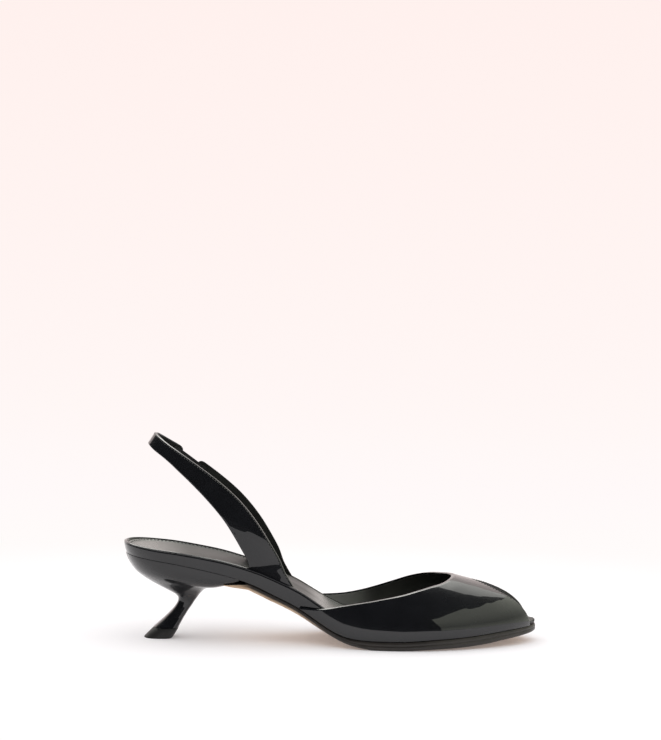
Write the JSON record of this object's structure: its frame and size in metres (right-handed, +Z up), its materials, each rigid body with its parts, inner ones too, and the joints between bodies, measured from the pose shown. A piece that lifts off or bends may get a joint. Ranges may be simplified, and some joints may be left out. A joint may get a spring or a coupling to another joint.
{
  "type": "slingback shoe",
  "caption": "Black patent slingback shoe with a peep toe, a low sculpted heel and a sling of two straps joined by an elastic; right foot.",
  "frame": {"origin": "middle of the footprint, on the floor that the heel tip and the forefoot stand on", "axes": "+X to the toe, +Y to the inner side of the foot, +Z up"},
  "size_m": [0.2362, 0.0798, 0.1179],
  "materials": {
    "patent": "polished",
    "sock_leather": "satin",
    "sole_leather": "satin",
    "tip_plastic": "matte",
    "elastic_weave": "matte"
  },
  "bodies": {
    "root": {"outsole": "sole_leather", "heel": "patent", "heel_tip": "tip_plastic", "footbed": "patent", "sock": "sock_leather", "vamp": "patent", "sling_strap_outer": "patent", "sling_elastic": "elastic_weave", "sling_strap_inner": "patent"}
  },
  "joints": []
}
